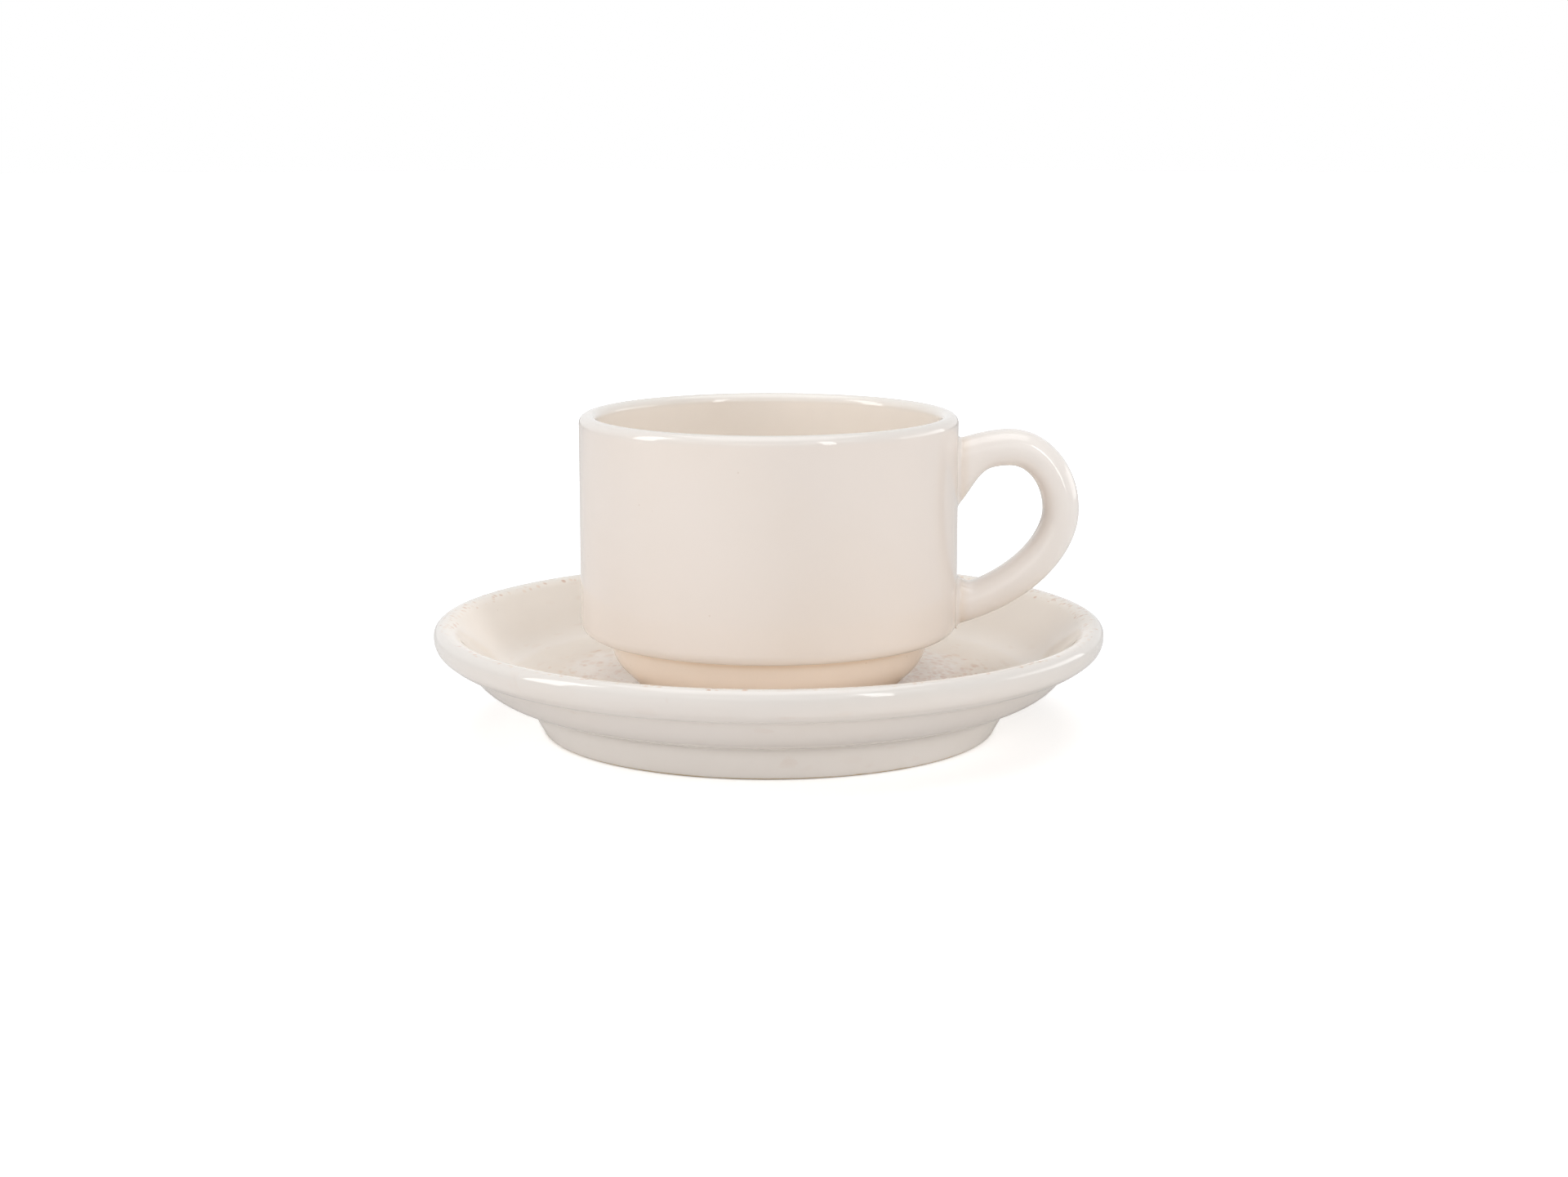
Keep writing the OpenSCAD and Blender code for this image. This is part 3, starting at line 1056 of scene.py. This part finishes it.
@dataclass(frozen=True)
class Handle:
    """The handle: a looped bow from an upper to a lower joint on the cup's wall, and the slip there.

    Args:
        wall_r: Radius of the cup's outer wall.
        base_z: Height of the cup's base.
        rim_z: Height of the cup's rim.
        tip_x: Distance of the handle's outermost point from the axis.
        quarter: Share of a radius that draws a cubic curve into a quarter round.
        bow_pull: Share of the drop over which the sweep leaves the outermost point straight down.
        lower_pull: Share of the run over which it meets the wall at the lower lean.
        facing: Share of the sweep in which its sections turn to stand upright.
        run_in: How far the handle goes into the wall.
        fillet: Radius of the slip's hollow quarter round.
        tuck: How far the slip goes into the wall and the handle.
        pool_and_shade_depth: Fold of the deepest pooled glaze and painted shade beside the wall.
        pool_and_shade_l: Reach of the pooled glaze and painted shade from the slip.
        power: Power of the sections' outline.
        crowding: How closely the sections crowd toward the wall; 1 spaces them evenly.
    """

    wall_r: float
    base_z: float
    rim_z: float
    tip_x: float
    half_t: float = 4.05 * MM
    half_w: float = 5.25 * MM
    upper_drop: float = 9.9 * MM
    crown_drop: float = 7.6 * MM
    crown_out: float = 11.5 * MM
    bow_drop: float = 21.7 * MM
    lower_z: float = 19.65 * MM
    web_h: float = 6.3 * MM
    web_l: float = 8.5 * MM
    heel_h: float = 2.0 * MM
    heel_l: float = 5.0 * MM
    web_round: float = 1.6
    web_thin: float = 3.0
    upper_lean: float = math.radians(15.0)
    lower_lean: float = math.radians(16.0)
    quarter: float = 0.5523
    bow_pull: float = 0.33
    lower_pull: float = 0.68
    facing: float = 0.4
    run_in: float = 1.2 * MM
    fillet: float = 1.1 * MM
    tuck: float = 0.9 * MM
    pool_and_shade_depth: float = 0.35
    pool_and_shade_l: float = 3.0 * MM
    around: int = 64
    power: float = 2.4
    crowding: float = 1.5
    arch_rings: int = 33
    bend_rings: int = 41
    sweep_rings: int = 65
    fillet_rings: int = 14

    @classmethod
    def from_frame(cls) -> "Handle":
        """Handle of the size that the frame gives."""
        low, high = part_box("cup_body")
        return cls(high.x, low.z, high.z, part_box("handle")[1].x)

    def line(self, curve: Array, t: Array) -> tuple[Array, Array]:
        """Points of a cubic curve and the way along it there, from its four control points.

        Args:
            curve: The control points.
            t: Shares of the way, from 0 to 1.

        Returns:
            The points and the ways.
        """
        t = t[:, None]
        s = 1.0 - t
        point = (s**3 * curve[0] + 3.0 * s * s * t * curve[1] + 3.0 * s * t * t * curve[2]
                 + t**3 * curve[3])
        legs = np.diff(curve, axis=0)
        return point, unit(s * s * legs[0] + 2.0 * s * t * legs[1] + t * t * legs[2])

    def rings(self, centre: Array, way: Array, out: Array, web_h: float, web_l: float) -> Rings:
        """Sections with the web that they get near the wall.

        At a share s of the web's reach, its height is web_h (1 - s to the power web_round) to the
        power web_thin: full and flat at the wall, thinning out from there.

        Args:
            centre: Middles of the sections.
            way: Way along the handle.
            out: Way to its outer side.
            web_h: Height of the web on the inner side, at the wall.
            web_l: Reach of the web from the wall.

        Returns:
            The sections.
        """
        away = centre[:, 0] - self.wall_r
        across = np.stack([-way[:, 1], way[:, 0]], axis=1)
        core = self.half_t / np.abs((out * across).sum(axis=1))
        share = np.clip(away / web_l, 0.0, 1.0)
        web = web_h * (1.0 - share ** self.web_round) ** self.web_thin
        return Rings(centre, out, core, core + web, np.full(len(core), self.half_w))

    def ends(self) -> tuple[Array, Array]:
        """The middles of the upper and the lower joint."""
        upper = np.array([self.wall_r, self.rim_z - self.upper_drop])
        return upper, np.array([self.wall_r, self.base_z + self.lower_z])

    def bow(self) -> Array:
        """Points of the whole handle, ring by ring, with a short run into the wall at both ends.

        The middle line is three cubic curves: a rise to the crown, a quarter round to the outermost
        point, and a long sweep back to the wall. Sections stand upright near the wall.
        """
        upper, lower = self.ends()
        crown = np.array([self.wall_r + self.crown_out, self.rim_z - self.crown_drop])
        tip = np.array([self.tip_x - self.half_t, self.rim_z - self.bow_drop])
        rise = self.crown_out / 3.0
        into_upper = np.array([1.0, math.tan(self.upper_lean)])
        into_lower = np.array([1.0, math.tan(self.lower_lean)])
        arch = np.array([upper, upper + rise * into_upper, crown - [rise, 0.0], crown])
        round_x, round_z = self.quarter * (tip[0] - crown[0]), self.quarter * (crown[1] - tip[1])
        bend = np.array([crown, crown + [round_x, 0.0], tip + [0.0, round_z], tip])
        drop, run = self.bow_pull * (tip[1] - lower[1]), self.lower_pull * (tip[0] - lower[0])
        sweep = np.array([tip, tip - [0.0, drop], lower + run * into_lower, lower])
        t = np.linspace(0.0, 1.0, self.arch_rings) ** self.crowding
        centre, way = self.line(arch, t)
        first = self.rings(centre, way, np.tile([0.0, 1.0], (len(t), 1)), self.web_h, self.web_l)
        t = np.linspace(0.0, 1.0, self.bend_rings)[1:]
        centre, way = self.line(bend, t)
        second = self.rings(centre, way, np.stack([-way[:, 1], way[:, 0]], axis=1), 0.0, self.web_l)
        t = 1.0 - (1.0 - np.linspace(0.0, 1.0, self.sweep_rings)[1:]) ** self.crowding
        centre, way = self.line(sweep, t)
        k = -self.lower_lean * ease((t - 1.0 + self.facing) / self.facing)
        out = np.stack([-way[:, 1] * np.cos(k) - way[:, 0] * np.sin(k),
                        -way[:, 1] * np.sin(k) + way[:, 0] * np.cos(k)], axis=1)
        third = self.rings(centre, way, out, self.heel_h, self.heel_l)
        loops = [part.points(self.around, self.power) for part in (first, second, third)]
        start = loops[0][:1] - self.run_in * np.array([1.0, 0.0, into_upper[1]])
        stop = loops[2][-1:] - self.run_in * np.array([1.0, 0.0, into_lower[1]])
        return np.concatenate([start, *loops, stop])

    def collar(self, end: End) -> Array:
        """Points of the slip around one joint, ring by ring, from inside the wall to inside the handle.

        The slip fills the corner between the handle and the wall with a hollow quarter round: at an
        angle a, it stands fillet (1 - sin a) off the wall and fillet (1 - cos a) off the handle. Each
        ring lies on a cylinder about the cup's axis, so that it follows the wall.

        Args:
            end: Which joint.

        Returns:
            The points.
        """
        middle = self.ends()[0 if end is End.UPPER else 1]
        lean = self.upper_lean if end is End.UPPER else self.lower_lean
        web_h, web_l = (self.web_h, self.web_l) if end is End.UPPER else (self.heel_h, self.heel_l)
        a = np.linspace(0.5 * np.pi, 0.0, self.fillet_rings)
        away = np.concatenate([[-self.tuck], self.fillet * (1.0 - np.sin(a)), [self.fillet]])
        grow = np.concatenate([[self.fillet - self.tuck], self.fillet * (1.0 - np.cos(a)), [-self.tuck]])
        slope = np.array([1.0, math.tan(lean)])
        centre = middle + away[:, None] * slope
        count = len(away)
        way, out = (np.tile(v, (count, 1)) for v in (unit(slope), [0.0, end.value]))
        rings = self.rings(centre, way, out, web_h, web_l)
        grown = Rings(centre, rings.out, rings.outer + grow, rings.inner + grow, rings.side + grow)
        points = grown.points(self.around, self.power)
        points[..., 0] = np.sqrt((self.wall_r + away[:, None]) ** 2 - points[..., 1] ** 2)
        return points if end is End.UPPER else points[::-1]

    def pooling_and_shade(self, points: Array) -> Array:
        """Fold that darkens the glaze beside the wall, as pooled glaze and painted shade: it rises over
        the slip and fades after it.
        """
        away = np.hypot(points[..., 0], points[..., 1]) - self.wall_r
        return -self.pool_and_shade_depth * np.where(away < self.fillet, ease(away / self.fillet),
                                            fade(away - self.fillet, self.pool_and_shade_l))

    def build(self, finish: Glaze, slip: Glaze) -> list[bpy.types.Object]:
        """Glazed handle and the slip at its two joints.

        Args:
            finish: Glaze of the handle.
            slip: Glaze of the slip.

        Returns:
            The objects.
        """
        bow = self.bow()
        coat = slip.material()
        surface = swept_surface(bow, self.pooling_and_shade(bow))
        pieces = [place_piece("handle_bow", surface, finish.material(), Body.CUP, "handle")]
        for end in End:
            word = end.name.lower()
            points = self.collar(end)
            surface = swept_surface(points, self.pooling_and_shade(points))
            pieces.append(place_piece(f"{word}_slip_collar", surface, coat, Body.CUP,
                                      f"{word}_slip_pad"))
        return pieces


# The studio


@dataclass(frozen=True)
class SoftBox:
    """A soft lamp that faces the object.

    Args:
        name: Name of the lamp.
        toward: Way from the object to the lamp.
        distance: Distance from the object.
        width: Width of the lamp.
        height: Height of the lamp.
        glow: Brightness of its face, where a white surface in plain light has 1.
    """

    name: str
    toward: tuple[float, float, float]
    distance: float
    width: float
    height: float
    glow: float

    def build(self, aim: Vector) -> bpy.types.Object:
        """Lamp that faces a point; its power is pi times its glow times its area."""
        lamp = bpy.data.lights.new(self.name, "AREA")
        lamp.shape = "RECTANGLE"
        lamp.size, lamp.size_y = self.width, self.height
        lamp.energy = math.pi * self.glow * self.width * self.height
        holder = bpy.data.objects.new(self.name, lamp)
        way = Vector(self.toward).normalized()
        holder.location = aim + way * self.distance
        holder.rotation_euler = way.to_track_quat("Z", "Y").to_euler()
        bpy.context.scene.collection.objects.link(holder)
        return holder


@dataclass(frozen=True)
class Studio:
    """White table and backdrop, soft light, and the camera at the photograph's viewing angle.

    Args:
        aim: Height of the point that the lamps face.
        fill: Brightness of the surroundings as a light.
        table: Colour of the table.
        lift: Brightness added to the table where it is seen, so that it reads as white.
        clear: Distances from the axis between which that rises to full white.
        table_mirrored: Colour of the table where it shows in a gloss.
        table_r: Radius of the table.
        table_t: Thickness of the table.
        table_hub: Share of that radius at which its first ring of points lies.
        table_rings: Number of its rings.
        table_sides: Number of points of a ring.
        table_rough: Lowest roughness of the table.
        grain_rough: Roughness that its grain adds.
        grain: Kind of the grain.
        camera_at: Place of the camera.
        pitch: Angle that the camera looks down.
        focal_px: Focal length in pixels of an image as wide as image_w.
        image_w: Width of the image in pixels.
        sensor: Width of the sensor in millimetres.
        nearest: Least distance that the camera sees.
        lamps: The lamps.
    """

    aim: float = 36.0 * MM
    fill: float = 0.2
    table: str = "f6f6f6"
    lift: float = 0.45
    clear: Step = (0.12, 0.5)
    table_mirrored: str = "eeeeee"
    table_r: float = 4.0
    table_t: float = 20.0 * MM
    table_hub: float = 0.05
    table_rings: int = 24
    table_sides: int = 96
    table_rough: float = 0.8
    grain_rough: float = 0.1
    grain: Mottle = Mottle(900.0, 3.0)
    camera_at: tuple[float, float, float] = (3.4 * MM, -600.75 * MM, 142.95 * MM)
    pitch: float = 0.1837
    focal_px: float = 3327.2
    image_w: float = 1920.0
    sensor: float = 36.0
    nearest: float = 10.0 * MM
    lamps: tuple[SoftBox, ...] = (
        SoftBox("top_panel", (0.0, 0.0, 1.0), 1.2, 1.2, 1.2, 1.78),
        SoftBox("left_strip", (-0.894, -0.19, 0.407), 1.2, 0.36, 1.0, 5.2),
        SoftBox("right_panel", (1.0, 0.3, 0.16), 1.2, 1.0, 0.4, 1.7),
        SoftBox("front_panel", (0.0, -1.0, 0.22), 1.2, 1.2, 0.6, 0.75),
        SoftBox("front_strip", (0.555, -0.758, 0.342), 1.2, 0.17, 0.84, 6.0),
        SoftBox("corner_panel", (0.545, -0.65, 0.53), 1.3, 0.8, 0.6, 0.9),
    )

    def seen(self, g: Graph, *kinds: str) -> Value:
        """One for rays that reach the camera by the ways named or through glass, and 0 for others."""
        seen = g.node("ShaderNodeLightPath", out="Is Transmission Ray")
        for kind in kinds:
            seen = g.math("MAXIMUM", seen, g.node("ShaderNodeLightPath", out=f"Is {kind} Ray"))
        return seen

    def build_world(self) -> None:
        """Surroundings that are white where they are seen or mirrored, and softer as a light."""
        world = bpy.data.worlds.new("surroundings")
        bpy.context.scene.world = world
        g = Graph.of(world)
        glow = self.fill + (1.0 - self.fill) * self.seen(g, "Camera", "Glossy")
        g.end("ShaderNodeOutputWorld", g.node("ShaderNodeBackground", None, {
            "Color": (1.0, 1.0, 1.0, 1.0), "Strength": glow}))

    def build_table(self) -> bpy.types.Object:
        """Round white table: rings of points (r cos a, r sin a, 0), and the same again under it."""
        a = 2.0 * np.pi * np.arange(self.table_sides) / self.table_sides
        r = self.table_r * np.linspace(self.table_hub, 1.0, self.table_rings)[:, None]
        top = np.stack([r * np.cos(a), r * np.sin(a), 0.0 * r * a], axis=-1)
        down = np.array([0.0, 0.0, -self.table_t])
        poles = np.stack([0.0 * down, down])
        table = make_mesh("table", grid_surface(np.concatenate([top, top[::-1] + down]), poles, {}))
        material = bpy.data.materials.new("white_table")
        g = Graph.of(material)
        place = g.node("ShaderNodeTexCoord", out="Object")
        far = g.node("ShaderNodeVectorMath", {"operation": "LENGTH"}, {0: place}, "Value")
        lift = self.lift + far.over(*self.clear) * (1.0 - self.lift)
        gloss = g.node("ShaderNodeLightPath", out="Is Glossy Ray")
        g.end("ShaderNodeOutputMaterial", g.shader(
            Base_Color=g.mix(gloss, paint(self.table), paint(self.table_mirrored)),
            Roughness=g.noise(place, self.grain) * self.grain_rough + self.table_rough,
            Emission_Color=self.seen(g, "Camera") * lift, Emission_Strength=1.0))
        table.data.materials.append(material)
        return table

    def build_camera(self) -> bpy.types.Object:
        """Camera with the lens that the focal length in pixels gives."""
        lens = bpy.data.cameras.new("camera")
        lens.sensor_width = self.sensor
        lens.sensor_fit = "HORIZONTAL"
        lens.lens = self.focal_px * self.sensor / self.image_w
        lens.clip_start = self.nearest
        camera = bpy.data.objects.new("camera", lens)
        camera.location = self.camera_at
        camera.rotation_euler = (math.pi / 2.0 - self.pitch, 0.0, 0.0)
        bpy.context.scene.collection.objects.link(camera)
        bpy.context.scene.camera = camera
        return camera

    def build(self) -> None:
        """Builds everything around the object."""
        bpy.context.scene.view_settings.view_transform = "Standard"
        self.build_camera()
        self.build_world()
        self.build_table()
        for lamp in self.lamps:
            lamp.build(Vector((0.0, 0.0, self.aim)))


def main() -> None:
    """Builds the saucer, the cup, the handle and the studio, in that order."""
    logging.basicConfig(level=logging.INFO, format="%(name)s: %(message)s")
    lathe = Lathe()
    saucer, cup, handle = Saucer.from_frame(), Cup.from_frame(), Handle.from_frame()
    # Painted light and shade: the saucer's dish and foot ring take lighter creams, its outer side and
    # belly a darker one, and its crease colour adds painted shade.
    flecked = FleckedGlaze("saucer_glaze", cream="e8e0d9", bowl_painted_light="faf2e8", foot="fcf5ee", pool_and_shade="d4c9be",
                           foot_z=0.0)
    saucer.build(lathe, flecked)
    cup.build(lathe, Glaze("cup_glaze", foot_z=cup.base_z))
    # Painted light: the handle and the slip take lighter creams than the cup's wall.
    handle.build(Glaze("handle_glaze", cream="f2ebe5"), Glaze("slip_glaze", cream="f0e8e1"))
    Studio().build()


if __name__ == "__main__":
    main()
